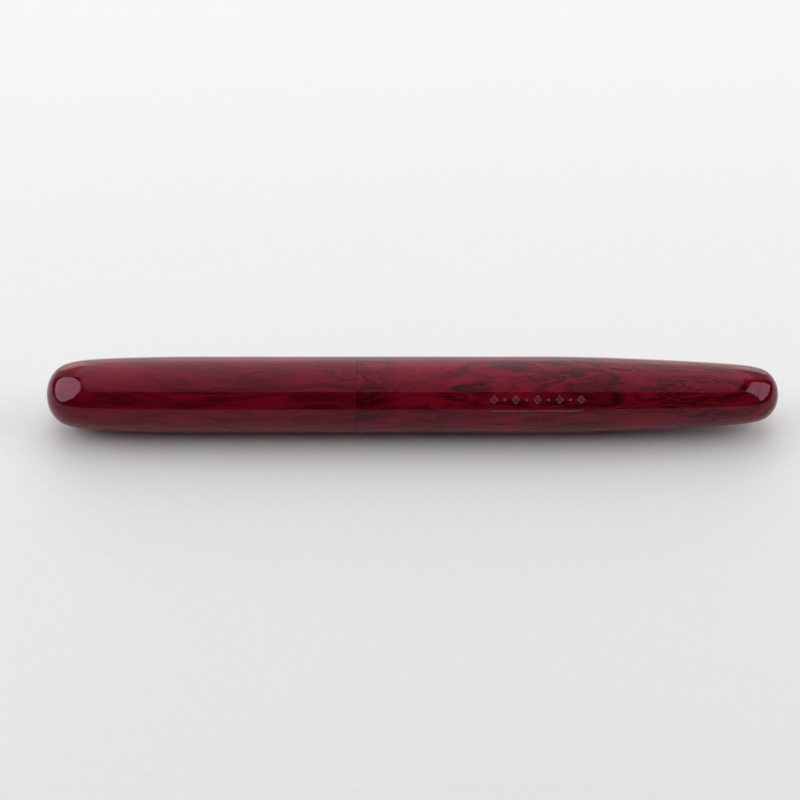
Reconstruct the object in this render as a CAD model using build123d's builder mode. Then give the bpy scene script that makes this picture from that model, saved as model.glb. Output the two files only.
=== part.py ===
"""A clipless, cigar-shaped fountain pen turned from marbled hard rubber, cap screwed on.

The pen lies along X, +Z up, with the cap's tip at -X and the barrel's tip at +X. The origin is
on the surface it lies on, under the middle of its length. All sizes are in millimetres.

Lengthwise places inside the pen are measured from the seam where the cap meets the barrel:
at(-26) is 26 mm towards the nib, and at(8) is 8 mm into the barrel.
"""

import os
from math import asin, degrees

from build123d import *

# ---------------------------------------------------------------- driving dimensions
PEN_LENGTH = 140.0
PEN_RADIUS = 7.3
CAP_LENGTH = 59.4

CAP_TIP_X = -PEN_LENGTH / 2
BARREL_TIP_X = PEN_LENGTH / 2
SEAM_X = CAP_TIP_X + CAP_LENGTH

# Outline of the two rounded ends: (distance from the tip, radius), tip first.
CAP_END = [(0.9, 3.56), (2.4, 5.22), (4.75, 6.2), (9.0, 6.78), (17.0, 7.12), (28.0, PEN_RADIUS)]
BARREL_END = [
    (0.8, 2.98), (2.3, 4.53), (4.8, 5.37), (10.0, 5.95), (20.0, 6.54), (32.0, 7.06),
    (46.0, PEN_RADIUS),
]
END_TANGENTS = [1.0, 1.0]  # how strongly the outline leaves the tip and runs into the cylinder

SEAM_GAP = 0.02  # hairline between the cap's lip and the barrel
EDGE_BREAK = 0.03  # polished edges at the seam

# Screw threads. The pieces that screw over a thread are bored clear of its crests, so that
# they can be drawn straight off it as well.
THREAD_CLEARANCE = 0.06
FEMALE_DEPTH = 0.28

CAP_THREAD = {"root": 5.65, "crest": 6.1, "pitch": 0.8}  # three starts, lead 2.4
BARREL_THREAD = {"root": 4.8, "crest": 5.3, "pitch": 1.0}  # one start
NIB_UNIT_THREAD = {"root": 3.35, "crest": 3.72, "pitch": 0.75}  # one start
SPINDLE_THREAD = {"root": 1.08, "crest": 1.45, "pitch": 1.25}  # four starts, lead 5

# Grip section
NOSE_S = -26.0
NOSE_RADIUS = 5.05
NOSE_FACE_RADIUS = 4.75
WAIST_RADIUS = 4.75
GRIP_REAR_RADIUS = 5.42
COLLAR_RADIUS = 6.1
TENON_END_S = 8.0
UNIT_BORE_RADIUS = 3.8
CONVERTER_SOCKET_RADIUS = 3.62

# Cap, inside
CAP_BORE_RADIUS = 5.65
CAP_DEEP_BORE_RADIUS = 5.3
CAP_MOUTH_RADIUS = 6.2
CAP_FLOOR_S = -52.45
INNER_CAP_RADIUS = 5.27
INNER_CAP_BORE_RADIUS = 4.55
INNER_CAP_WALL_END = 1.0

# Barrel, inside
BARREL_BORE_RADIUS = 4.9
BARREL_DEEP_BORE_RADIUS = 4.4
BARREL_FLOOR_S = 74.5
SEAL_CORD_RADIUS = 0.42
SEAL_RADIUS = 5.85
SEAL_POCKET_RADIUS = 6.3
SEAL_POCKET_DEPTH = 0.9

# Nib unit
HOUSING_RADIUS = 3.77
HOUSING_BORE_RADIUS = 3.35
FEED_RADIUS = 3.32
FEED_SEAT_RADIUS = 3.05  # where the nib lies on it
FEED_SEAT_HEIGHT = 0.6
FEED_STEM_RADIUS = 2.42
NIPPLE_RADIUS = 1.95
NIPPLE_END_S = 1.5
INK_HOLE_RADIUS = 0.9
CHANNEL_WIDTH = 0.36
SLIT_WIDTH = 0.12
BREATHER_RADIUS = 0.65
BREATHER_S = -34.5
NIB_TAIL_END_S = -14.6
NIB_TIP_S = -48.0
# The nib's cross-sections: (s, outer arc radius, half width, height of the top, thickness).
NIB_SECTIONS = [
    (-26.0, 3.32, 3.1, 3.32, 0.24),
    (-27.6, 3.62, 3.46, 3.33, 0.25),
    (-29.6, 4.1, 4.02, 3.36, 0.26),
    (-32.4, 4.5, 4.22, 3.38, 0.28),
    (-36.5, 4.3, 3.35, 3.34, 0.3),
    (-41.0, 3.4, 2.0, 3.2, 0.33),
    (-45.2, 2.2, 0.98, 2.92, 0.38),
    (NIB_TIP_S, 1.4, 0.42, 2.62, 0.46),
]
TIPPING_RADIUS = 0.46
# The feed in front of the housing: (s, radius, height of its centre over the pen's axis).
FEED_SECTIONS = [
    (-26.4, 3.0, 0.0),
    (-31.0, 2.9, 0.04),
    (-36.5, 2.26, 0.58),
    (-40.5, 1.33, 1.28),
    (-43.0, 0.66, 1.78),
]
FIN_COUNT = 11
FIN_PITCH = 0.86
FIN_GAP = 0.36
FIN_CORE_RADIUS = 1.5
FIN_CORE_HEIGHT = 0.9
FIN_TOP_HEIGHT = 1.3
FIN_FIRST_S = -26.9

# Converter
CONVERTER_FRONT_S = -3.5
TUBE_RADIUS = 3.5
TUBE_BORE_RADIUS = 2.8
TUBE_END_S = 33.0
MOUTH_BORE_RADIUS = 2.0
MOUTH_END_S = 1.2
COLLAR_RADIUS_OUTSIDE = 3.9
COLLAR_BORE_RADIUS = 3.52
COLLAR_FRONT_S = 28.0
COLLAR_REAR_S = 44.0
GUIDE_LENGTH = 2.0
SLEEVE_FRONT_S = 35.3
SLEEVE_REAR_S = 47.5
SLEEVE_RADIUS = 2.5
SLEEVE_FLANGE_RADIUS = 3.3
SLEEVE_FLANGE_LENGTH = 1.5
RETAINER_LENGTH = 1.5
KNOB_RADIUS = 3.7
KNOB_NECK_RADIUS = 3.42
KNOB_FRONT_S = 44.2
KNOB_REAR_S = 63.0
KNOB_HOLLOW_RADIUS = 1.75
KNOB_FLUTES = 18
KNOB_FLUTE_RADIUS = 0.34
SPINDLE_END_S = 39.3
SPINDLE_FLAT = 1.15  # half the width across the spindle's two flats
PISTON_FRONT_S = 2.7
PISTON_LENGTH = 4.6
PISTON_RADIUS = 2.55
PISTON_GROOVE_RADIUS = 1.9
PISTON_SEAL_RADIUS = 2.78
PISTON_SEAL_LENGTH = 1.0

PEN_AXIS = Axis((0, 0, PEN_RADIUS), (1, 0, 0))
LENGTHWISE = Plane(origin=(0, 0, PEN_RADIUS), x_dir=(1, 0, 0), z_dir=(0, -1, 0))


def at(s):
    """The X of a place that is s millimetres from the seam, towards the barrel's tip."""
    return SEAM_X + s


def across(s):
    """The plane square to the pen at s. Its own X is the pen's Y, its own Y is up."""
    return Plane(origin=(at(s), 0, PEN_RADIUS), x_dir=(0, 1, 0), z_dir=(1, 0, 0))


def turn(*corners, mode=Mode.ADD):
    """Turns a closed outline of (s, radius) corners about the pen's axis, in the open part."""
    with BuildSketch(LENGTHWISE) as profile:
        with BuildLine():
            Polyline(*[(at(s), radius) for s, radius in corners], close=True)
        make_face()
    revolve(profile.sketch, axis=PEN_AXIS, mode=mode)


def bore(from_s, to_s, radius):
    """Bores the open part from one place to another."""
    turn((from_s, 0), (from_s, radius), (to_s, radius), (to_s, 0), mode=Mode.SUBTRACT)


def rod(from_s, to_s, radius):
    """Adds a plain round length to the open part."""
    turn((from_s, 0), (from_s, radius), (to_s, radius), (to_s, 0))


def ridges(from_s, to_s, root, crest, pitch):
    """The corners of a row of thread ridges, from front to back."""
    count = int((to_s - from_s) / pitch)
    corners = []
    for ridge in range(count):
        start = from_s + ridge * pitch
        corners += [
            (start, root),
            (start + 0.3 * pitch, crest),
            (start + 0.5 * pitch, crest),
            (start + 0.8 * pitch, root),
        ]
    return corners + [(from_s + count * pitch, root)]


def male_thread(from_s, to_s, root, crest, pitch):
    """Raises thread ridges on the open part."""
    corners = ridges(from_s, to_s, root, crest, pitch)
    turn((from_s, root - 0.3), *corners, (corners[-1][0], root - 0.3))


def female_thread(from_s, to_s, root, crest, pitch):
    """Bores the open part clear of a thread's crests and grooves the bore."""
    clear = crest + THREAD_CLEARANCE
    corners = ridges(from_s, to_s, clear, clear + FEMALE_DEPTH, pitch)
    turn((from_s, 0), *corners, (corners[-1][0], 0), mode=Mode.SUBTRACT)


def pen_outline(tip_x, towards, ends):
    """The outside of one end of the pen, as points from the tip to the full radius."""
    return [(tip_x, 0)] + [(tip_x + towards * distance, radius) for distance, radius in ends]


def rounded_body(tip_x, towards, ends, mouth_x):
    """The solid outside of the cap or the barrel, from its tip to its mouth, in the open part."""
    outline = pen_outline(tip_x, towards, ends)
    with BuildSketch(LENGTHWISE) as profile:
        with BuildLine():
            Spline(*outline, tangents=[(0, 1), (towards, 0)], tangent_scalars=END_TANGENTS)
            Polyline(outline[-1], (mouth_x, PEN_RADIUS), (mouth_x, 0), (tip_x, 0))
        make_face()
    revolve(profile.sketch, axis=PEN_AXIS)


def seam_edge(part, s):
    """The outer edge of a part at the seam."""
    edges = part.edges().filter_by(GeomType.CIRCLE).filter_by_position(
        Axis.X, at(s) - 0.01, at(s) + 0.01
    )
    return edges.sort_by(SortBy.RADIUS)[-1]


os.makedirs("parts", exist_ok=True)

# ---------------------------------------------------------------- cap
with BuildPart() as cap_shell:
    rounded_body(CAP_TIP_X, 1, CAP_END, at(-SEAM_GAP))
    bore(-1.7, 1, CAP_MOUTH_RADIUS)
    female_thread(-7.3, -1.6, **CAP_THREAD)
    bore(NOSE_S - 0.3, -7.2, CAP_BORE_RADIUS)
    bore(CAP_FLOOR_S, NOSE_S, CAP_DEEP_BORE_RADIUS)
    chamfer(seam_edge(cap_shell.part, -SEAM_GAP), EDGE_BREAK)
cap_shell.part.label = "cap_shell"

INNER_CAP_RIM_S = NOSE_S - 0.06
INNER_CAP_FLOOR_S = CAP_FLOOR_S + 0.04
with BuildPart() as inner_cap:
    turn(
        (INNER_CAP_FLOOR_S, 0),
        (INNER_CAP_FLOOR_S, INNER_CAP_RADIUS - 0.4),
        (INNER_CAP_FLOOR_S + 0.4, INNER_CAP_RADIUS),
        (INNER_CAP_RIM_S - 0.25, INNER_CAP_RADIUS),
        (INNER_CAP_RIM_S, INNER_CAP_RADIUS - 0.25),
        (INNER_CAP_RIM_S, INNER_CAP_BORE_RADIUS),
        (INNER_CAP_FLOOR_S + INNER_CAP_WALL_END + 0.8, INNER_CAP_BORE_RADIUS),
        (INNER_CAP_FLOOR_S + INNER_CAP_WALL_END, INNER_CAP_BORE_RADIUS - 0.8),
        (INNER_CAP_FLOOR_S + INNER_CAP_WALL_END, 0),
    )
inner_cap.part.label = "inner_cap"

# ---------------------------------------------------------------- barrel
with BuildPart() as barrel_shell:
    rounded_body(BARREL_TIP_X, -1, BARREL_END, SEAM_X)
    bore(-1, SEAL_POCKET_DEPTH, SEAL_POCKET_RADIUS)
    female_thread(0.8, 8.8, **BARREL_THREAD)
    bore(8.7, 30, BARREL_BORE_RADIUS)
    bore(29, BARREL_FLOOR_S, BARREL_DEEP_BORE_RADIUS)
    chamfer(seam_edge(barrel_shell.part, 0), EDGE_BREAK)
barrel_shell.part.label = "barrel_shell"

with BuildPart() as barrel_seal_ring:
    with BuildSketch(LENGTHWISE):
        with Locations((at(SEAL_CORD_RADIUS + 0.03), SEAL_RADIUS)):
            Circle(SEAL_CORD_RADIUS)
    revolve(axis=PEN_AXIS)
barrel_seal_ring.part.label = "barrel_seal_ring"

# ---------------------------------------------------------------- grip section
with BuildPart() as grip_section:
    with BuildSketch(LENGTHWISE):
        with BuildLine():
            nose = Polyline((at(NOSE_S), 0), (at(NOSE_S), NOSE_FACE_RADIUS))
            lip = TangentArc(nose @ 1, (at(NOSE_S + 0.6), NOSE_RADIUS), tangent=(-0.2, 1))
            grip = Spline(
                lip @ 1,
                (at(-21.5), WAIST_RADIUS),
                (at(-14.5), 4.98),
                (at(-8.2), GRIP_REAR_RADIUS),
                tangents=[(1, 0), (1, 0.1)],
            )
            Polyline(
                grip @ 1,
                (at(-7.9), GRIP_REAR_RADIUS),
                (at(-7.9), 5.3),
                (at(-6.9), 5.3),
                (at(-6.7), CAP_THREAD["root"]),
                (at(-1.15), CAP_THREAD["root"]),
                (at(-1.15), COLLAR_RADIUS - 0.15),
                (at(-1.0), COLLAR_RADIUS),
                (at(-0.02), COLLAR_RADIUS),
                (at(-0.02), BARREL_THREAD["root"]),
                (at(TENON_END_S - 0.3), BARREL_THREAD["root"]),
                (at(TENON_END_S), BARREL_THREAD["root"] - 0.3),
                (at(TENON_END_S), 0),
                (at(NOSE_S), 0),
            )
        make_face()
    revolve(axis=PEN_AXIS)
    male_thread(-6.3, -1.4, **CAP_THREAD)
    male_thread(1.5, TENON_END_S - 0.3, **BARREL_THREAD)
    bore(NOSE_S - 1, -4.1, UNIT_BORE_RADIUS)
    bore(-5, TENON_END_S + 1, CONVERTER_SOCKET_RADIUS)
grip_section.part.label = "grip_section"

# ---------------------------------------------------------------- nib unit
with BuildPart() as nib_housing:
    turn(
        (NOSE_S, HOUSING_BORE_RADIUS),
        (NOSE_S, HOUSING_RADIUS - 0.1),
        (NOSE_S + 0.1, HOUSING_RADIUS),
        (-13.4, HOUSING_RADIUS),
        (-13.4, NIB_UNIT_THREAD["root"]),
        (-6.9, NIB_UNIT_THREAD["root"]),
        (-6.9, FEED_STEM_RADIUS + 0.02),
        (-14.4, FEED_STEM_RADIUS + 0.02),
        (-14.4, HOUSING_BORE_RADIUS),
    )
    male_thread(-12.9, -7.4, **NIB_UNIT_THREAD)
nib_housing.part.label = "nib_housing"

with BuildPart() as feed:
    rod(-15, -6.9, FEED_STEM_RADIUS)
    rod(-7, NIPPLE_END_S, NIPPLE_RADIUS)
    bore(-9, NIPPLE_END_S + 1, INK_HOLE_RADIUS)
    with BuildSketch(across(-26.4)):
        Circle(FEED_RADIUS)
        with Locations((0, FEED_SEAT_HEIGHT - FEED_RADIUS)):
            Rectangle(3 * FEED_RADIUS, 2 * FEED_RADIUS, mode=Mode.INTERSECT)
        Circle(FEED_SEAT_RADIUS)
    extrude(amount=26.4 - 14.6)
    for s, radius, height in FEED_SECTIONS:
        with BuildSketch(across(s)):
            with Locations((0, height)):
                Circle(radius)
    loft()
    for gap in range(FIN_COUNT):
        with BuildSketch(across(FIN_FIRST_S - gap * FIN_PITCH)):
            with Locations((0, FIN_TOP_HEIGHT - 4)):
                Rectangle(8, 8)
            with Locations((0, FIN_CORE_HEIGHT)):
                Circle(FIN_CORE_RADIUS, mode=Mode.SUBTRACT)
        extrude(amount=-FIN_GAP, mode=Mode.SUBTRACT)
    with BuildSketch(across(-42)):
        with Locations((0, FEED_SEAT_RADIUS)):
            Rectangle(CHANNEL_WIDTH, 1.0)
    extrude(amount=42 - 14.6, mode=Mode.SUBTRACT)
feed.part.label = "feed"


def nib_section(s, arc_radius, half_width, top, thickness):
    """A cross-section of the nib: a thin arc that bulges upwards."""
    spread = degrees(asin(half_width / arc_radius))
    centre = (0, top - arc_radius)
    with BuildSketch(across(s)) as section:
        with BuildLine():
            outer = CenterArc(centre, arc_radius, 90 - spread, 2 * spread)
            inner = CenterArc(centre, arc_radius - thickness, 90 - spread, 2 * spread)
            Line(outer @ 0, inner @ 0)
            Line(outer @ 1, inner @ 1)
        make_face()
    return section.sketch


with BuildPart() as nib:
    loft([nib_section(*measures).face() for measures in NIB_SECTIONS])
    extrude(nib_section(*NIB_SECTIONS[0]), amount=NIB_TAIL_END_S - NIB_SECTIONS[0][0])
    with BuildSketch(Plane.XY.offset(PEN_RADIUS)):
        with Locations((at(BREATHER_S), 0)):
            Circle(BREATHER_RADIUS)
        with Locations((at((NIB_TIP_S + BREATHER_S) / 2 - 1), 0)):
            Rectangle(BREATHER_S - NIB_TIP_S + 2, SLIT_WIDTH)
    extrude(amount=PEN_RADIUS, mode=Mode.SUBTRACT)
nib.part.label = "nib"

with BuildPart() as nib_tipping:
    tip_height = NIB_SECTIONS[-1][3] - NIB_SECTIONS[-1][4] / 2
    with Locations((at(NIB_TIP_S), 0, PEN_RADIUS + tip_height)):
        Sphere(TIPPING_RADIUS)
        Box(2, SLIT_WIDTH, 2, mode=Mode.SUBTRACT)
        with Locations((1, 0, 0)):
            Box(2, 2, 2, mode=Mode.SUBTRACT)
nib_tipping.part.label = "nib_tipping"

# ---------------------------------------------------------------- converter
with BuildPart() as converter_tube:
    turn(
        (CONVERTER_FRONT_S, TUBE_BORE_RADIUS),
        (CONVERTER_FRONT_S, TUBE_RADIUS - 0.2),
        (CONVERTER_FRONT_S + 0.4, TUBE_RADIUS),
        (TUBE_END_S, TUBE_RADIUS),
        (TUBE_END_S, TUBE_BORE_RADIUS),
    )
converter_tube.part.label = "converter_tube"

with BuildPart() as converter_mouth_ring:
    turn(
        (CONVERTER_FRONT_S, MOUTH_BORE_RADIUS + 0.3),
        (CONVERTER_FRONT_S, TUBE_BORE_RADIUS - 0.02),
        (MOUTH_END_S, TUBE_BORE_RADIUS - 0.02),
        (MOUTH_END_S, MOUTH_BORE_RADIUS),
        (CONVERTER_FRONT_S + 0.4, MOUTH_BORE_RADIUS),
    )
converter_mouth_ring.part.label = "converter_mouth_ring"

with BuildPart() as converter_collar:
    turn(
        (COLLAR_FRONT_S, COLLAR_BORE_RADIUS),
        (COLLAR_FRONT_S, COLLAR_RADIUS_OUTSIDE - 0.15),
        (COLLAR_FRONT_S + 0.15, COLLAR_RADIUS_OUTSIDE),
        (COLLAR_REAR_S - 1.6, COLLAR_RADIUS_OUTSIDE),
        (COLLAR_REAR_S - 1.4, COLLAR_RADIUS_OUTSIDE - 0.12),
        (COLLAR_REAR_S - 1.0, COLLAR_RADIUS_OUTSIDE - 0.12),
        (COLLAR_REAR_S - 0.8, COLLAR_RADIUS_OUTSIDE),
        (COLLAR_REAR_S - 0.15, COLLAR_RADIUS_OUTSIDE),
        (COLLAR_REAR_S, COLLAR_RADIUS_OUTSIDE - 0.15),
        (COLLAR_REAR_S, COLLAR_BORE_RADIUS),
    )
converter_collar.part.label = "converter_collar"

with BuildPart() as spindle_guide:
    with BuildSketch(across(TUBE_END_S + 0.02)):
        Circle(COLLAR_BORE_RADIUS - 0.02)
        with BuildSketch(mode=Mode.SUBTRACT):
            Circle(SPINDLE_THREAD["crest"] + THREAD_CLEARANCE)
            Rectangle(6, 2 * (SPINDLE_FLAT + THREAD_CLEARANCE), mode=Mode.INTERSECT)
    extrude(amount=GUIDE_LENGTH)
spindle_guide.part.label = "spindle_guide"

with BuildPart() as drive_sleeve:
    rod(SLEEVE_FRONT_S, SLEEVE_FRONT_S + SLEEVE_FLANGE_LENGTH, SLEEVE_FLANGE_RADIUS)
    rod(SLEEVE_FRONT_S, SLEEVE_REAR_S, SLEEVE_RADIUS)
    bore(SLEEVE_FRONT_S - 1, SLEEVE_REAR_S + 1, SPINDLE_THREAD["crest"] + THREAD_CLEARANCE)
drive_sleeve.part.label = "drive_sleeve"

RETAINER_FRONT_S = SLEEVE_FRONT_S + SLEEVE_FLANGE_LENGTH + 0.1
with BuildPart() as knob_retainer:
    turn(
        (RETAINER_FRONT_S, SLEEVE_RADIUS + 0.1),
        (RETAINER_FRONT_S, COLLAR_BORE_RADIUS - 0.02),
        (RETAINER_FRONT_S + RETAINER_LENGTH, COLLAR_BORE_RADIUS - 0.02),
        (RETAINER_FRONT_S + RETAINER_LENGTH, SLEEVE_RADIUS + 0.1),
    )
knob_retainer.part.label = "knob_retainer"

with BuildPart() as converter_knob:
    turn(
        (KNOB_FRONT_S - 2.2, SLEEVE_RADIUS + 0.02),
        (KNOB_FRONT_S - 2.2, KNOB_NECK_RADIUS),
        (KNOB_FRONT_S, KNOB_NECK_RADIUS),
        (KNOB_FRONT_S, KNOB_RADIUS - 0.2),
        (KNOB_FRONT_S + 0.3, KNOB_RADIUS),
        (KNOB_REAR_S - 0.9, KNOB_RADIUS),
        (KNOB_REAR_S - 0.3, KNOB_RADIUS - 0.3),
        (KNOB_REAR_S, KNOB_RADIUS - 0.9),
        (KNOB_REAR_S, 0),
        (KNOB_REAR_S - 1.2, 0),
        (KNOB_REAR_S - 1.2, KNOB_HOLLOW_RADIUS),
        (SLEEVE_REAR_S + 0.1, KNOB_HOLLOW_RADIUS),
        (SLEEVE_REAR_S + 0.1, SLEEVE_RADIUS + 0.02),
    )
    with BuildSketch(across(KNOB_FRONT_S + 1.5)):
        with PolarLocations(KNOB_RADIUS + 0.12, KNOB_FLUTES):
            Circle(KNOB_FLUTE_RADIUS)
    extrude(amount=KNOB_REAR_S - KNOB_FRONT_S, mode=Mode.SUBTRACT)
converter_knob.part.label = "converter_knob"

# ---------------------------------------------------------------- piston
SPINDLE_FRONT_S = PISTON_FRONT_S + 2.3
with BuildPart() as piston_spindle:
    rod(SPINDLE_FRONT_S, SPINDLE_END_S, SPINDLE_THREAD["root"])
    male_thread(PISTON_FRONT_S + PISTON_LENGTH + 0.3, SPINDLE_END_S, **SPINDLE_THREAD)
    with BuildSketch(across(SPINDLE_FRONT_S)):
        Rectangle(4, 2 * SPINDLE_FLAT)
    extrude(amount=SPINDLE_END_S - SPINDLE_FRONT_S, mode=Mode.INTERSECT)
piston_spindle.part.label = "piston_spindle"

PISTON_REAR_S = PISTON_FRONT_S + PISTON_LENGTH
FRONT_GROOVE_S = PISTON_FRONT_S + 0.5
REAR_GROOVE_S = PISTON_REAR_S - 0.5 - PISTON_SEAL_LENGTH
with BuildPart() as piston_core:
    rod(PISTON_FRONT_S, PISTON_REAR_S, PISTON_RADIUS)
    for groove_s in (FRONT_GROOVE_S, REAR_GROOVE_S):
        turn(
            (groove_s - 0.02, PISTON_GROOVE_RADIUS),
            (groove_s - 0.02, PISTON_RADIUS + 1),
            (groove_s + PISTON_SEAL_LENGTH + 0.02, PISTON_RADIUS + 1),
            (groove_s + PISTON_SEAL_LENGTH + 0.02, PISTON_GROOVE_RADIUS),
            mode=Mode.SUBTRACT,
        )
    bore(SPINDLE_FRONT_S - 0.02, PISTON_REAR_S + 1, SPINDLE_THREAD["root"] + 0.02)
piston_core.part.label = "piston_core"


def piston_seal(groove_s):
    """A seal ring with two lips, lying in a groove of the piston."""
    inside = PISTON_GROOVE_RADIUS + 0.02
    waist = PISTON_RADIUS
    middle = groove_s + PISTON_SEAL_LENGTH / 2
    turn(
        (groove_s, inside),
        (groove_s, PISTON_SEAL_RADIUS),
        (groove_s + 0.2, PISTON_SEAL_RADIUS),
        (middle, waist),
        (groove_s + PISTON_SEAL_LENGTH - 0.2, PISTON_SEAL_RADIUS),
        (groove_s + PISTON_SEAL_LENGTH, PISTON_SEAL_RADIUS),
        (groove_s + PISTON_SEAL_LENGTH, inside),
    )


with BuildPart() as front_piston_seal:
    piston_seal(FRONT_GROOVE_S)
front_piston_seal.part.label = "front_piston_seal"

with BuildPart() as rear_piston_seal:
    piston_seal(REAR_GROOVE_S)
rear_piston_seal.part.label = "rear_piston_seal"

# ---------------------------------------------------------------- files
for piece in (
    cap_shell,
    inner_cap,
    barrel_shell,
    barrel_seal_ring,
    grip_section,
    nib_housing,
    feed,
    nib,
    nib_tipping,
    converter_tube,
    converter_mouth_ring,
    converter_collar,
    spindle_guide,
    drive_sleeve,
    knob_retainer,
    converter_knob,
    piston_spindle,
    piston_core,
    front_piston_seal,
    rear_piston_seal,
):
    export_step(piece.part, f"parts/{piece.part.label}.step")
    if not piece.part.is_valid:
        print(piece.part.label, "isn't a valid solid")
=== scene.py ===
"""Looks of a clipless marbled hard rubber fountain pen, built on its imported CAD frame."""

import math

import bmesh
import bpy
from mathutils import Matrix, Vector
from mathutils.bvhtree import BVHTree


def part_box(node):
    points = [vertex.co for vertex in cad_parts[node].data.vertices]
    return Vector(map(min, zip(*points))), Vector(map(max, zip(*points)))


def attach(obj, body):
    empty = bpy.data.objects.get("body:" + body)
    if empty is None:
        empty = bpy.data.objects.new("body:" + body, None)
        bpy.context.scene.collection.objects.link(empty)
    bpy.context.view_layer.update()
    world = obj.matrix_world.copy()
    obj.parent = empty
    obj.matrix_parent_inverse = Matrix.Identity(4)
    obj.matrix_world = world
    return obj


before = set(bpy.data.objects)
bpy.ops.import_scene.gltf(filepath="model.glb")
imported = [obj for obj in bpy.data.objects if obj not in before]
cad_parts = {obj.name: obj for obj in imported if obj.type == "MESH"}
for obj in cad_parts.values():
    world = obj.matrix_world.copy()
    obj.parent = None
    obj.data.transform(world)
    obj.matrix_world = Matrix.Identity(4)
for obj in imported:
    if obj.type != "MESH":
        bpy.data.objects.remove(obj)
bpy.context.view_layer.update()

MM = 0.001
PEN_START, PEN_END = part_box("cap_shell")[0].x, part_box("barrel_shell")[1].x
SEAM_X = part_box("barrel_shell")[0].x
PEN_RADIUS = (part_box("barrel_shell")[1].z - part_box("barrel_shell")[0].z) / 2
AXIS_Z = PEN_RADIUS  # the pen lies on the floor, which is at height 0


def at(s):
    """The X, in metres, of a place s millimetres from the seam, towards the barrel's tip."""
    return SEAM_X + s * MM


# ---------------------------------------------------------------- material nodes
def rgba(rgb, times=1.0):
    """A shader colour: red, green and blue times a factor, and alpha 1."""
    return tuple(min(1.0, value * times) for value in rgb) + (1,)


class Graph:
    """A material being built, with short calls for the nodes used here."""

    def __init__(self, name):
        self.material = bpy.data.materials.new(name)
        self.material.use_nodes = True
        self.tree = self.material.node_tree
        self.tree.nodes.clear()
        output = self.tree.nodes.new("ShaderNodeOutputMaterial")
        self.shader = self.tree.nodes.new("ShaderNodeBsdfPrincipled")
        self.tree.links.new(self.shader.outputs["BSDF"], output.inputs["Surface"])
        self.object_place = self.tree.nodes.new("ShaderNodeTexCoord").outputs["Object"]

    def put(self, socket, value):
        """Link a node's output to a socket, or set the socket to a constant."""
        if isinstance(value, bpy.types.NodeSocket):
            self.tree.links.new(value, socket)
        else:
            socket.default_value = value

    def set(self, **values):
        """Put values on the shader's sockets, whose names have _ for a space here."""
        for name, value in values.items():
            self.put(self.shader.inputs[name.replace("_", " ")], value)

    def node(self, kind, **inputs):
        node = self.tree.nodes.new(kind)
        for name, value in inputs.items():
            self.put(node.inputs[name.replace("_", " ")], value)
        return node

    def place(self, scale, offset=(0, 0, 0), source=None):
        """The object's own coordinates, or another place, scaled and shifted."""
        source = source or self.object_place
        return self.node("ShaderNodeMapping", Vector=source, Scale=scale, Location=offset).outputs["Vector"]

    def noise(self, place, detail=4.0, roughness=0.55, output="Fac"):
        node = self.node("ShaderNodeTexNoise", Vector=place, Scale=1.0, Detail=detail, Roughness=roughness)
        return node.outputs[output]

    def math(self, operation, a, b):
        node = self.tree.nodes.new("ShaderNodeMath")
        node.operation = operation
        self.put(node.inputs[0], a)
        self.put(node.inputs[1], b)
        return node.outputs[0]

    def vector(self, operation, a, b, output="Vector"):
        node = self.tree.nodes.new("ShaderNodeVectorMath")
        node.operation = operation
        self.put(node.inputs[0], a)
        self.put(node.inputs[1], b)
        return node.outputs[output]

    def separate(self, vector):
        """The three numbers of a vector."""
        return self.node("ShaderNodeSeparateXYZ", Vector=vector).outputs

    def ramp(self, value, low, high, start=0.0, end=1.0):
        """A smooth step from start, where value is low, to end, where it is high."""
        node = self.node(
            "ShaderNodeMapRange", Value=value, From_Min=low, From_Max=high, To_Min=start, To_Max=end,
        )
        node.interpolation_type = "SMOOTHSTEP"
        return node.outputs["Result"]

    def mix(self, factor, a, b):
        """A colour between a and b."""
        node = self.tree.nodes.new("ShaderNodeMix")
        node.data_type = "RGBA"
        for index, value in ((0, factor), (6, a), (7, b)):  # the sockets of a mix of colours
            self.put(node.inputs[index], value)
        return node.outputs[2]

    def bump(self, height, strength, distance):
        node = self.node("ShaderNodeBump", Height=height, Strength=strength, Distance=distance)
        self.set(Normal=node.outputs["Normal"])


def finishing_marks(graph, roughness, spread, along):
    """A roughness with the fine marks of turning and wear. along is the marks' fineness on X, Y, Z."""
    marks = graph.noise(graph.place(along), detail=3.0)
    return graph.ramp(marks, 0.3, 0.75, roughness, roughness + spread)


# How the marbled layers are bent: the fineness of each wander along X, Y and Z, per millimetre, its
# detail, which of the noise's three numbers it takes, and how far it pushes the layers, in millimetres.
KNEADING = [
    ((0.03, 0.15, 0.15), 1.0, 0, 6.0),  # broad waves
    ((0.105, 0.42, 0.42), 2.0, 1, 3.0),  # folds
    ((0.26, 1.5, 1.5), 2.0, 2, 0.7),  # crumbs
]


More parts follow.
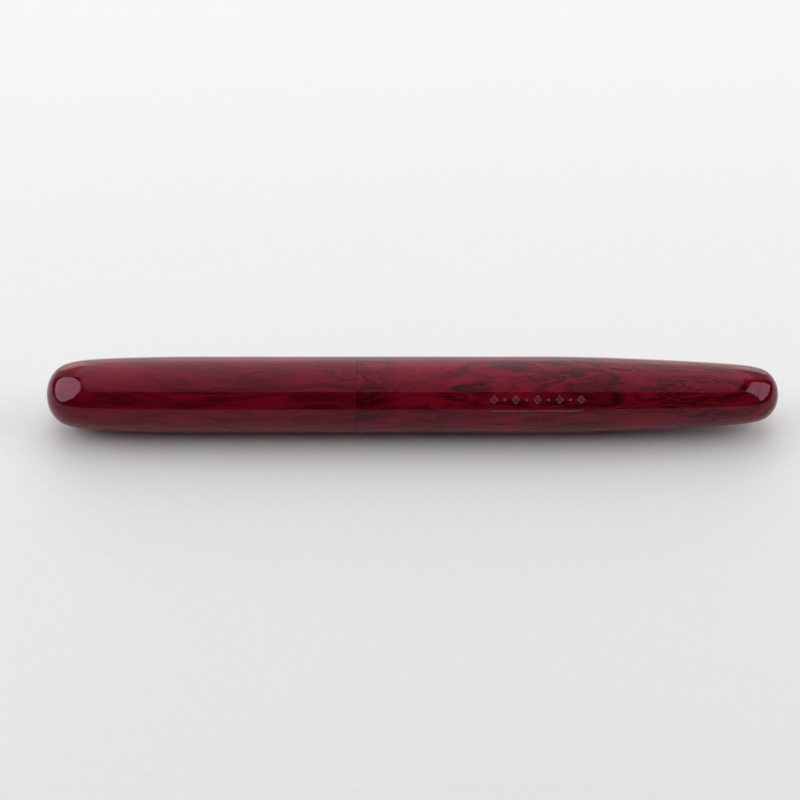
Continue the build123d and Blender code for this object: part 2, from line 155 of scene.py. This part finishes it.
def marbled_ebonite(name, shift, layer_normal, fineness, spread, pale_red, deep_red):
    """Red and black hard rubber: thin kneaded layers that the turned surface cuts through.

    shift picks another place in the pattern, layer_normal is square to the layers, fineness makes
    them thinner, and a smaller spread parts the two colours more sharply.
    """
    g = Graph(name)
    in_mm = g.place((1000, 1000, 1000), offset=shift)
    along = g.separate(in_mm)[0]
    height = g.vector("DOT_PRODUCT", in_mm, layer_normal, output="Value")
    for scale, detail, channel, push in KNEADING:
        wander = g.noise(g.place(scale, source=in_mm), detail, roughness=0.5, output="Color")
        wander = g.separate(g.vector("SUBTRACT", wander, (0.5, 0.5, 0.5)))[channel]
        height = g.math("ADD", height, g.math("MULTIPLY", wander, push))

    def layers(thickness, run, variety):
        """Layers that change over thickness across them and over run along the pen, in millimetres."""
        across = g.math("MULTIPLY", height, fineness / thickness)
        spot = g.node("ShaderNodeCombineXYZ", X=across, Y=g.math("MULTIPLY", along, 1 / run), Z=variety)
        return g.noise(spot.outputs["Vector"], detail=1.5, roughness=0.5)

    patch = g.noise(g.place((0.06, 0.3, 0.3), source=in_mm), detail=2.0)
    grain = g.noise(g.place((0.5, 4.2, 4.2), source=in_mm), roughness=0.6)
    thick, thin = layers(1.0, 14, 3.0), layers(0.36, 8, 8.0)
    cut = 0.0
    for value, amount in ((thick, 0.62), (thin, 0.5), (patch, 0.16), (grain, 0.14)):
        cut = g.math("ADD", cut, g.math("MULTIPLY", g.math("SUBTRACT", value, 0.5), amount))
    dark = g.ramp(cut, -spread, spread)
    g.set(
        Base_Color=g.mix(dark, rgba(pale_red), rgba(deep_red)),
        Roughness=finishing_marks(g, 0.035, 0.035, (60, 900, 900)),
        IOR=1.6,
        Specular_IOR_Level=0.25,
        Specular_Tint=(1.0, 0.57, 0.72, 1),
    )
    g.bump(g.noise(g.place((90, 900, 900)), detail=3.0), 0.02, 0.02 * MM)
    return g.material


def polished_black(name, colour, roughness):
    """Turned and polished black material with faint turning rings."""
    g = Graph(name)
    cloud = g.noise(g.place((140, 320, 320)), detail=5.0)
    g.set(
        Base_Color=g.mix(g.ramp(cloud, 0.35, 0.75), rgba(colour), rgba(colour, 2.2)),
        Roughness=finishing_marks(g, roughness, 0.09, (5200, 300, 300)),
        IOR=1.55,
    )
    g.bump(g.noise(g.place((6000, 200, 200)), detail=2.0), 0.06, 0.02 * MM)
    return g.material


def moulded(name, colour, roughness, mottling=0.12, translucency=0.0):
    """Moulded plastic or rubber: a faint cloudiness and a fine skin."""
    g = Graph(name)
    cloud = g.noise(g.place((420, 420, 420)), detail=5.0)
    skin = g.noise(g.place((9000, 9000, 9000)), detail=3.0)
    g.set(
        Base_Color=g.mix(g.ramp(cloud, 0.3, 0.7), rgba(colour, 1 - mottling), rgba(colour, 1 + mottling)),
        Roughness=g.ramp(skin, 0.3, 0.7, roughness - 0.06, roughness + 0.06),
        IOR=1.5,
        Transmission_Weight=translucency,
    )
    g.bump(skin, 0.12, 0.03 * MM)
    return g.material


def metal(name, colour, roughness, along=(200, 6000, 6000)):
    """Polished metal with fine finishing lines, whose fineness on X, Y and Z is along."""
    g = Graph(name)
    lines = g.noise(g.place(along))
    smudge = g.noise(g.place((300, 300, 300)), detail=5.0)
    wear = g.math("MULTIPLY", g.ramp(smudge, 0.4, 0.8), 0.08)
    g.set(
        Base_Color=g.mix(g.ramp(smudge, 0.3, 0.8), rgba(colour), rgba(colour, 0.86)),
        Roughness=g.math("ADD", wear, g.ramp(lines, 0.3, 0.7, roughness * 0.7, roughness * 1.3)),
        Metallic=1.0,
    )
    g.bump(lines, 0.08, 0.01 * MM)
    return g.material


def clear_plastic(name):
    """Clear moulded plastic with faint haze."""
    g = Graph(name)
    haze = g.noise(g.place((500, 500, 500)))
    g.set(
        Base_Color=g.mix(g.ramp(haze, 0.3, 0.8), (0.97, 0.98, 0.985, 1), (0.93, 0.95, 0.96, 1)),
        Roughness=g.ramp(haze, 0.3, 0.8, 0.0, 0.02),
        IOR=1.49,
        Transmission_Weight=1.0,
    )
    g.bump(g.noise(g.place((80, 300, 300)), detail=1.0), 0.01, 0.01 * MM)
    return g.material


def gilt(name):
    """Dull gold rubbed into a fine engraving, worn in places."""
    g = Graph(name)
    wear = g.noise(g.place((1800, 2600, 2600)), detail=5.0)
    g.set(
        Base_Color=g.mix(g.ramp(wear, 0.42, 0.68), (0.155, 0.09, 0.068, 1), (0.06, 0.018, 0.018, 1)),
        Roughness=g.ramp(wear, 0.3, 0.7, 0.32, 0.6),
        Metallic=0.45,
    )
    g.bump(wear, 0.2, 0.02 * MM)
    return g.material


FROSTED = moulded("frosted_plastic", (0.72, 0.75, 0.77), 0.38, mottling=0.06, translucency=0.35)
WHITE = moulded("white_plastic", (0.74, 0.73, 0.70), 0.36, mottling=0.05)
RUBBER = moulded("seal_rubber", (0.018, 0.018, 0.02), 0.6)
CAD_MATERIALS = {
    "cap_shell": marbled_ebonite(
        "cap_ebonite", shift=(7.3, 2.1, 5.6), layer_normal=(0.03, 0.45, 0.89), fineness=1.0,
        spread=0.17, pale_red=(0.186, 0.0021, 0.0120), deep_red=(0.074, 0.0008, 0.0044),
    ),
    "barrel_shell": marbled_ebonite(
        "barrel_ebonite", shift=(3.7, 9.4, 1.2), layer_normal=(-0.03, -0.5, 0.86), fineness=1.4,
        spread=0.135, pale_red=(0.208, 0.0024, 0.0140), deep_red=(0.042, 0.0006, 0.0028),
    ),
    "inner_cap": moulded("liner_plastic", (0.035, 0.035, 0.04), 0.4),
    "barrel_seal_ring": RUBBER,
    "grip_section": polished_black("black_ebonite", (0.009, 0.008, 0.009), 0.07),
    "nib_housing": moulded("housing_black", (0.012, 0.012, 0.013), 0.2),
    "feed": polished_black("feed_ebonite", (0.011, 0.010, 0.010), 0.33),
    "nib": metal("nib_steel", (0.66, 0.65, 0.62), 0.12),
    "nib_tipping": metal("tipping_alloy", (0.55, 0.55, 0.57), 0.2),
    "converter_tube": clear_plastic("clear_acrylic"),
    "converter_mouth_ring": FROSTED,
    "converter_collar": metal("plated_collar", (0.72, 0.72, 0.74), 0.07, along=(6000, 200, 200)),
    "spindle_guide": FROSTED,
    "drive_sleeve": WHITE,
    "knob_retainer": WHITE,
    "converter_knob": moulded("knob_black", (0.014, 0.014, 0.015), 0.24),
    "piston_spindle": WHITE,
    "piston_core": WHITE,
    "front_piston_seal": RUBBER,
    "rear_piston_seal": RUBBER,
}
for node, material in CAD_MATERIALS.items():
    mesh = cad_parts[node].data
    mesh.materials.clear()
    mesh.materials.append(material)


# ---------------------------------------------------------------- fine work on the surfaces
BARREL_PROUD, NIB_PROUD = 0.004 * MM, 0.015 * MM  # how far an engraving's sheet stands off
SAME_POINT = 0.0002 * MM  # points of a sheet nearer than this are one point
SIDES = (-1, 1)


def surface_tree(node):
    """A CAD node's surface, for finding the places on it."""
    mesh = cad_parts[node].data
    return BVHTree.FromPolygons([v.co for v in mesh.vertices], [p.vertices for p in mesh.polygons])


barrel_tree = surface_tree("barrel_shell")
nib_tree = surface_tree("nib")


def on_barrel(x, angle):
    """The place just off the barrel at x, at an angle in degrees above the side facing -Y."""
    outwards = Vector((0, -math.cos(math.radians(angle)), math.sin(math.radians(angle))))
    start = Vector((x, 0, AXIS_Z)) + outwards * 2 * PEN_RADIUS
    return barrel_tree.ray_cast(start, -outwards)[0] + outwards * BARREL_PROUD


def on_nib(x, y):
    """The place just off the nib straight below (x, y), or None beside it."""
    hit = nib_tree.ray_cast(Vector((x, y, AXIS_Z + 2 * PEN_RADIUS)), Vector((0, 0, -1)))[0]
    return hit + Vector((0, 0, NIB_PROUD)) if hit else None


def thin_piece(name, patches, material, body):
    """One thin piece made of grids of points, each a list of rows. Its faces look up."""
    vertices, faces = [], []
    for rows in patches:
        first, width = len(vertices), len(rows[0])
        for row in rows:
            vertices += row
        for r in range(len(rows) - 1):
            for c in range(width - 1):
                corner = first + r * width + c
                faces.append((corner, corner + 1, corner + width + 1, corner + width))
    mesh = bpy.data.meshes.new(name)
    mesh.from_pydata([tuple(v) for v in vertices], [], faces)
    shape = bmesh.new()
    shape.from_mesh(mesh)
    bmesh.ops.remove_doubles(shape, verts=shape.verts, dist=SAME_POINT)
    shape.normal_update()
    bmesh.ops.reverse_faces(shape, faces=[face for face in shape.faces if face.normal.z < 0])
    shape.to_mesh(mesh)
    shape.free()
    mesh.materials.append(material)
    for polygon in mesh.polygons:
        polygon.use_smooth = True
    piece = bpy.data.objects.new(name, mesh)
    bpy.context.scene.collection.objects.link(piece)
    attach(piece, body)


# A plain ornament on the barrel: a row of lozenges, tall ones and small ones in turn, over a rule.
# Widths round the barrel are in degrees.
ORNAMENT_START, ORNAMENT_END = at(24.9), at(43.4)
LOZENGE_ANGLE, RULE_ANGLE = 37.0, 19.5
LOZENGES = 9
LOZENGE_STEPS = 10
TALL_LENGTH, TALL_REACH = 1.5 * MM, 7.2
SMALL_LENGTH, SMALL_REACH = 0.75 * MM, 2.6
RULE_HALF, RULE_END_HALF = 0.9, 0.05
RULE_STEPS = 60
RULE_TAPER = 1 / 12  # of the rule's length, at each end


def along_ornament(share):
    return ORNAMENT_START + (ORNAMENT_END - ORNAMENT_START) * share


def rule():
    """The rule, pointed at both ends."""
    rows = []
    for step in range(RULE_STEPS + 1):
        share = step / RULE_STEPS
        half = RULE_HALF * min(1.0, share / RULE_TAPER, (1 - share) / RULE_TAPER) + RULE_END_HALF
        rows.append([on_barrel(along_ornament(share), RULE_ANGLE + k * half) for k in (-1, 0, 1)])
    return rows


def lozenge_side(middle, length, reach, inner, outer):
    """The upper side of a lozenge, or the lower one where reach is negative.

    It fills the band between two lozenges of one shape, inner and outer times the whole size.
    """
    rows = []
    for step in range(LOZENGE_STEPS + 1):
        share = step / LOZENGE_STEPS
        cut_away = abs(2 * share - 1)
        low, high = max(0.0, inner - cut_away), outer - cut_away
        if high >= 0:
            x = middle + length * (share - 0.5)
            rows.append([on_barrel(x, LOZENGE_ANGLE + reach * k) for k in (low, (low + high) / 2, high)])
    return rows


ornament = [rule()]
for lozenge in range(LOZENGES):
    middle = along_ornament((lozenge + 0.5) / LOZENGES)
    tall = lozenge % 2 == 0
    length, reach = (TALL_LENGTH, TALL_REACH) if tall else (SMALL_LENGTH, SMALL_REACH)
    for inner, outer in ((0.62, 1.0), (0.0, 0.3)) if tall else ((0.0, 1.0),):
        for side in SIDES:
            ornament.append(lozenge_side(middle, length, side * reach, inner, outer))
thin_piece("barrel_ornament", ornament, gilt("gilt_engraving"), "barrel")

# The nib's engraving: two border lines along each edge and a small leaf scroll behind the slit.
# Places along the nib are in millimetres from the seam, and widths are in millimetres.
NIB_WIDEST_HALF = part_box("nib")[1].y
BORDER_FRONT, BORDER_BACK = -46.2, -27.2
BORDER_STEPS = 60
BORDER_LINES = [(0.55, 0.045), (0.85, 0.02)]  # inset from the edge and half the line's width
BORDER_CLOSES_IN = 2.2 * MM  # a nib half narrower than this has its border nearer to the edge
LEAVES = 3
LEAF_STEPS = 24
LEAF_START, LEAF_LENGTH, LEAF_RISE = -31.6, 3.0, 2.5


def nib_half_width(x):
    """Half the nib's width at x, seen from above, found by halving."""
    low, high = 0.0, NIB_WIDEST_HALF
    for _ in range(18):
        middle = (low + high) / 2
        over_slit = middle <= 0.2 * MM
        if on_nib(x, middle) or over_slit:
            low = middle
        else:
            high = middle
    return low


def line_on_nib(path):
    """A line on the nib along a list of (x, y, half its width), without the places beside the nib."""
    rows = [[on_nib(x, y - half), on_nib(x, y + half)] for x, y, half in path]
    return [row for row in rows if None not in row]


def border_line(side, inset, half):
    path = []
    for step in range(BORDER_STEPS + 1):
        x = at(BORDER_BACK + (BORDER_FRONT - BORDER_BACK) * step / BORDER_STEPS)
        width = nib_half_width(x)
        edge = width - inset * MM * min(1.0, width / BORDER_CLOSES_IN)
        path.append((x, side * edge, half * MM))
    return line_on_nib(path)


def leaf(side, turn):
    """A leaf that curls out from the slit. Each further one is shorter, lower and more to the front."""
    path = []
    for step in range(LEAF_STEPS + 1):
        share = step / LEAF_STEPS
        x = at(LEAF_START - 0.2 * turn + LEAF_LENGTH * share * (1 - 0.18 * turn))
        y = side * (0.25 + (LEAF_RISE - 0.62 * turn) * math.sin(math.pi * 0.5 * share) ** 1.4) * MM
        path.append((x, y, (0.05 + 0.10 * math.sin(math.pi * share)) * MM))
    return line_on_nib(path)


engraving = [border_line(side, inset, half) for side in SIDES for inset, half in BORDER_LINES]
engraving += [leaf(side, turn) for side in SIDES for turn in range(LEAVES)]
etched = metal("nib_etching", (0.16, 0.155, 0.15), 0.42)
thin_piece("nib_engraving", engraving, etched, "core")


# ---------------------------------------------------------------- floor and light
def stage_sheet(name, corners, material):
    """A flat sheet that belongs to the stage."""
    mesh = bpy.data.meshes.new(name)
    mesh.from_pydata(corners, [], [tuple(range(len(corners)))])
    mesh.materials.append(material)
    sheet = bpy.data.objects.new(name, mesh)
    bpy.context.scene.collection.objects.link(sheet)


def floor_paper():
    g = Graph("floor_paper")
    tooth = g.noise(g.place((900, 900, 900)))
    g.set(Base_Color=g.mix(tooth, (0.795, 0.799, 0.794, 1), (0.855, 0.859, 0.854, 1)), Roughness=0.6)
    g.bump(tooth, 0.05, 0.1 * MM)
    return g.material


FLOOR_FRONT, FLOOR_BACK, FLOOR_SIDE = -0.9, 3.0, 2.0
floor_corners = [
    (-FLOOR_SIDE, FLOOR_FRONT, 0), (FLOOR_SIDE, FLOOR_FRONT, 0),
    (FLOOR_SIDE, FLOOR_BACK, 0), (-FLOOR_SIDE, FLOOR_BACK, 0),
]
stage_sheet("floor", floor_corners, floor_paper())

# The ceiling of the light tent: a wide sheet, dimmer over the camera and brighter at the back.
CEILING_HEIGHT, CEILING_FRONT, CEILING_BACK = 0.6, -0.46, 1.3
CEILING_SIDE, CEILING_SIDE_BACK, CEILING_WIDENS = 0.27, 0.36, 0.16
FULL_GLOW_Y, FRONT_GLOW, FULL_GLOW = 0.5, 0.62, 1.7


def ceiling_glow():
    g = Graph("ceiling_glow")
    glow = g.ramp(g.separate(g.object_place)[1], CEILING_FRONT, FULL_GLOW_Y, FRONT_GLOW, FULL_GLOW)
    g.set(
        Base_Color=(0, 0, 0, 1), Roughness=1.0,
        Emission_Color=(0.985, 0.99, 1.0, 1), Emission_Strength=glow,
    )
    return g.material


ceiling_outline = [
    (CEILING_SIDE, CEILING_FRONT),
    (CEILING_SIDE, CEILING_WIDENS),
    (CEILING_SIDE_BACK, CEILING_WIDENS + 0.1),
    (CEILING_SIDE_BACK, CEILING_BACK),
]
ceiling_corners = [(-x, y, CEILING_HEIGHT) for x, y in ceiling_outline]
ceiling_corners += [(x, y, CEILING_HEIGHT) for x, y in reversed(ceiling_outline)]
stage_sheet("ceiling", ceiling_corners, ceiling_glow())


def look_along(thing, direction):
    """Turn a light or camera to face along a direction, with its top up."""
    thing.rotation_euler = direction.to_track_quat("-Z", "Y").to_euler()


def panel(name, centre, target, size, power, colour=(1, 1, 1), shape="RECTANGLE"):
    """A soft light panel facing a point. Returns it, so that what it lights can be limited."""
    data = bpy.data.lights.new(name, "AREA")
    data.shape = shape
    data.size, data.size_y = size
    data.energy = power
    data.color = colour
    light = bpy.data.objects.new(name, data)
    light.location = centre
    look_along(light, Vector(target) - Vector(centre))
    bpy.context.scene.collection.objects.link(light)
    return light


panel("back", centre=(0, 1.3, 0.3), target=(0, 0, 0.3), size=(1.8, 0.6), power=5.0)

# Two cards light the gloss of the pen's ends only.
left_card = panel(
    "left_card", centre=(-0.28, -0.1, 0.31), target=(0, -0.1, 0.31), size=(0.5, 0.56), power=3.1,
    colour=(0.98, 0.94, 1.0), shape="ELLIPSE",
)
right_card = panel(
    "right_card", centre=(0.3, -0.13, 0.32), target=(0, -0.13, 0.32), size=(0.4, 0.44), power=1.9,
)
for card in (left_card, right_card):
    card.visible_diffuse = False

# On each side, a fill that no gloss shows and a panel beside the back of the ceiling.
for name, side in (("left", -1), ("right", 1)):
    fill = panel(
        name + "_fill", centre=(side * 0.6, 0.02, 0.36), target=(0, 0, 0), size=(0.5, 0.5), power=1.85,
    )
    fill.visible_glossy = False
    panel(
        name + "_back", centre=(side * 0.36, 0.76, 0.3), target=(0, 0.76, 0.3), size=(1.1, 0.6), power=1.3,
    )

ROOM_COLOUR = (0.055, 0.055, 0.057, 1)
world = bpy.data.worlds.new("room")
world.use_nodes = True
world.node_tree.nodes["Background"].inputs["Color"].default_value = ROOM_COLOUR
bpy.context.scene.world = world
bpy.context.scene.view_settings.view_transform = "Standard"
bpy.context.scene.view_settings.look = "None"

# ---------------------------------------------------------------- camera
ELEVATION = math.radians(45)
LENS, SENSOR = 100.0, 36.0
PEN_SHARE = 0.91325  # the pen's length, as a share of the picture's width
CENTRE_RIGHT, CENTRE_UP = 0.015625, 0.006875  # the pen's middle from the picture's, in the same shares
picture_width = (PEN_END - PEN_START) / PEN_SHARE
distance = picture_width * LENS / SENSOR
towards_camera = Vector((0, -math.cos(ELEVATION), math.sin(ELEVATION)))
picture_up = Vector((0, math.sin(ELEVATION), math.cos(ELEVATION)))
picture_right = Vector((1, 0, 0))
pen_middle = Vector(((PEN_START + PEN_END) / 2, 0, AXIS_Z))
aim = pen_middle - (picture_right * CENTRE_RIGHT + picture_up * CENTRE_UP) * picture_width
camera_data = bpy.data.cameras.new("camera")
camera_data.lens, camera_data.sensor_width = LENS, SENSOR
camera = bpy.data.objects.new("camera", camera_data)
camera.location = aim + towards_camera * distance
look_along(camera, -towards_camera)
bpy.context.scene.collection.objects.link(camera)
bpy.context.scene.camera = camera
